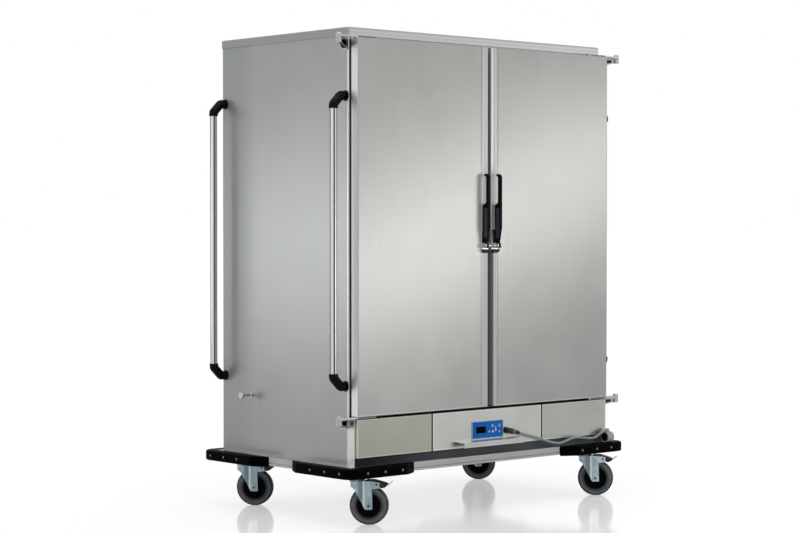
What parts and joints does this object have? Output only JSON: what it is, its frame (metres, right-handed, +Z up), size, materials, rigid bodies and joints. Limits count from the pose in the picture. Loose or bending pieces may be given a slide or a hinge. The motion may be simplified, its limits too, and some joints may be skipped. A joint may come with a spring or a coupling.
{
  "type": "enclosed meal tray cart",
  "caption": "Heated enclosed meal tray cart: insulated stainless cabinet, fold-back doors with latch levers, push handles, corner bumpers, pull-out heating module and braked swivel casters.",
  "frame": {"origin": "on the floor, under the middle of the cart's overall box", "axes": "+X to the right for a person facing the doors, +Y from the doors to the back, +Z up"},
  "size_m": [1.309, 0.7908, 1.591],
  "materials": {
    "shell_steel": "stainless sheet, fine vertical grain, satin",
    "door_steel": "stainless sheet, finely ground, brighter",
    "chassis_steel": "stainless sheet, folded",
    "runner_steel": "stainless sheet, pressed, satin",
    "bright_steel": "polished stainless steel",
    "tube_steel": "drawn stainless tube, ground lengthways",
    "zinc": "zinc-plated steel",
    "fork_zinc": "zinc-plated pressed steel, bluish",
    "heater_steel": "heater tube, darkened by heat",
    "motor_grey": "motor can, grey",
    "black_rubber": "black rubber, slightly polished",
    "seal_rubber": "black silicone seal, matt",
    "grey_tyre": "grey elastic rubber",
    "black_plastic": "black moulded plastic, fine grain",
    "hub_plastic": "black moulded wheel centre",
    "blue_foil": "blue membrane foil with white printed symbols",
    "dark_window": "smoked display window",
    "grey_lead": "grey rubber-sheathed lead",
    "grey_plug": "grey moulded plug"
  },
  "bodies": {
    "cart": {"chassis_pan": "chassis_steel", "corner_bumpers": "black_rubber", "bumper_screws": "zinc", "lower_frame": "shell_steel", "side_wall_left": "shell_steel", "side_wall_right": "shell_steel", "back_wall": "shell_steel", "top_cover": "shell_steel", "compartment_floor": "shell_steel", "centre_wall": "shell_steel", "tray_runners": "runner_steel", "lower_panel_left": "door_steel", "lower_panel_right": "door_steel", "latch_keeper": "bright_steel", "door_stops": "bright_steel", "hinge_brackets_left": "bright_steel", "hinge_brackets_right": "bright_steel", "handle_tubes": "tube_steel", "handle_elbows": "black_plastic", "caster_plates": "zinc"},
    "door_left": {"door_panel_left": "door_steel", "door_inner_left": "runner_steel", "door_gasket_left": "seal_rubber", "hinge_arms_left": "bright_steel", "latch_base_left": "bright_steel"},
    "latch_left": {"latch_lever_left": "black_plastic", "latch_claw_left": "bright_steel"},
    "door_right": {"door_panel_right": "door_steel", "door_inner_right": "runner_steel", "door_gasket_right": "seal_rubber", "hinge_arms_right": "bright_steel", "latch_base_right": "bright_steel"},
    "latch_right": {"latch_lever_right": "black_plastic", "latch_claw_right": "bright_steel"},
    "heating_module": {"module_front": "door_steel", "module_housing": "zinc", "heater_element": "heater_steel", "blower_motor": "motor_grey", "control_panel": "blue_foil", "display_window": "dark_window", "cord_gland": "black_plastic", "power_cord": "grey_lead", "power_plug": "grey_plug"},
    "blower": {"blower_wheel": "runner_steel"},
    "caster_front_left": {"fork_front_left": "fork_zinc"},
    "wheel_front_left": {"tyre_front_left": "grey_tyre", "wheel_hub_front_left": "hub_plastic"},
    "pedal_front_left": {"brake_pedal_front_left": "black_plastic"},
    "caster_front_right": {"fork_front_right": "fork_zinc"},
    "wheel_front_right": {"tyre_front_right": "grey_tyre", "wheel_hub_front_right": "hub_plastic"},
    "pedal_front_right": {"brake_pedal_front_right": "black_plastic"},
    "caster_rear_left": {"fork_rear_left": "fork_zinc"},
    "wheel_rear_left": {"tyre_rear_left": "grey_tyre", "wheel_hub_rear_left": "hub_plastic"},
    "pedal_rear_left": {"brake_pedal_rear_left": "black_plastic"},
    "caster_rear_right": {"fork_rear_right": "fork_zinc"},
    "wheel_rear_right": {"tyre_rear_right": "grey_tyre", "wheel_hub_rear_right": "hub_plastic"},
    "pedal_rear_right": {"brake_pedal_rear_right": "black_plastic"}
  },
  "joints": [
    {"name": "door_left_hinge", "type": "hinge", "parent": "cart", "child": "door_left", "pos_m": [-0.645, -0.343, 0.95], "axis": [0, 0, -1], "range_deg": [0, 270]},
    {"name": "door_right_hinge", "type": "hinge", "parent": "cart", "child": "door_right", "pos_m": [0.645, -0.343, 0.95], "axis": [0, 0, 1], "range_deg": [0, 270]},
    {"name": "latch_left_pull", "type": "hinge", "parent": "door_left", "child": "latch_left", "pos_m": [-0.028, -0.373, 0.892], "axis": [1, 0, 0], "range_deg": [0, 5], "stiffness_Nm_per_rad": 0.8, "springref_deg": -6.88},
    {"name": "latch_right_pull", "type": "hinge", "parent": "door_right", "child": "latch_right", "pos_m": [0.028, -0.373, 0.892], "axis": [1, 0, 0], "range_deg": [0, 5], "stiffness_Nm_per_rad": 0.8, "springref_deg": -6.88},
    {"name": "module_slide", "type": "slide", "parent": "cart", "child": "heating_module", "axis": [0, -1, 0], "range_m": [0, 0.36]},
    {"name": "blower_spin", "type": "hinge", "parent": "heating_module", "child": "blower", "pos_m": [0, -0.1525, 0.28], "axis": [0, 0, 1], "continuous": true},
    {"name": "swivel_front_left", "type": "hinge", "parent": "cart", "child": "caster_front_left", "pos_m": [-0.5315, -0.3, 0.15], "axis": [0, 0, 1], "continuous": true},
    {"name": "roll_front_left", "type": "hinge", "parent": "caster_front_left", "child": "wheel_front_left", "pos_m": [-0.50607, -0.32824, 0.0625], "axis": [0.7431, 0.6691, 0], "continuous": true},
    {"name": "brake_front_left", "type": "hinge", "parent": "caster_front_left", "child": "pedal_front_left", "pos_m": [-0.48868, -0.34756, 0.13], "axis": [0.7431, 0.6691, 0], "range_deg": [0, 12]},
    {"name": "swivel_front_right", "type": "hinge", "parent": "cart", "child": "caster_front_right", "pos_m": [0.5315, -0.3, 0.15], "axis": [0, 0, 1], "continuous": true},
    {"name": "roll_front_right", "type": "hinge", "parent": "caster_front_right", "child": "wheel_front_right", "pos_m": [0.55693, -0.32824, 0.0625], "axis": [0.7431, 0.6691, 0], "continuous": true},
    {"name": "brake_front_right", "type": "hinge", "parent": "caster_front_right", "child": "pedal_front_right", "pos_m": [0.57432, -0.34756, 0.13], "axis": [0.7431, 0.6691, 0], "range_deg": [0, 12]},
    {"name": "swivel_rear_left", "type": "hinge", "parent": "cart", "child": "caster_rear_left", "pos_m": [-0.5315, 0.3, 0.15], "axis": [0, 0, 1], "continuous": true},
    {"name": "roll_rear_left", "type": "hinge", "parent": "caster_rear_left", "child": "wheel_rear_left", "pos_m": [-0.50607, 0.27176, 0.0625], "axis": [0.7431, 0.6691, 0], "continuous": true},
    {"name": "brake_rear_left", "type": "hinge", "parent": "caster_rear_left", "child": "pedal_rear_left", "pos_m": [-0.48868, 0.25244, 0.13], "axis": [0.7431, 0.6691, 0], "range_deg": [0, 12]},
    {"name": "swivel_rear_right", "type": "hinge", "parent": "cart", "child": "caster_rear_right", "pos_m": [0.5315, 0.3, 0.15], "axis": [0, 0, 1], "continuous": true},
    {"name": "roll_rear_right", "type": "hinge", "parent": "caster_rear_right", "child": "wheel_rear_right", "pos_m": [0.55693, 0.27176, 0.0625], "axis": [0.7431, 0.6691, 0], "continuous": true},
    {"name": "brake_rear_right", "type": "hinge", "parent": "caster_rear_right", "child": "pedal_rear_right", "pos_m": [0.57432, 0.25244, 0.13], "axis": [0.7431, 0.6691, 0], "range_deg": [0, 12]}
  ]
}
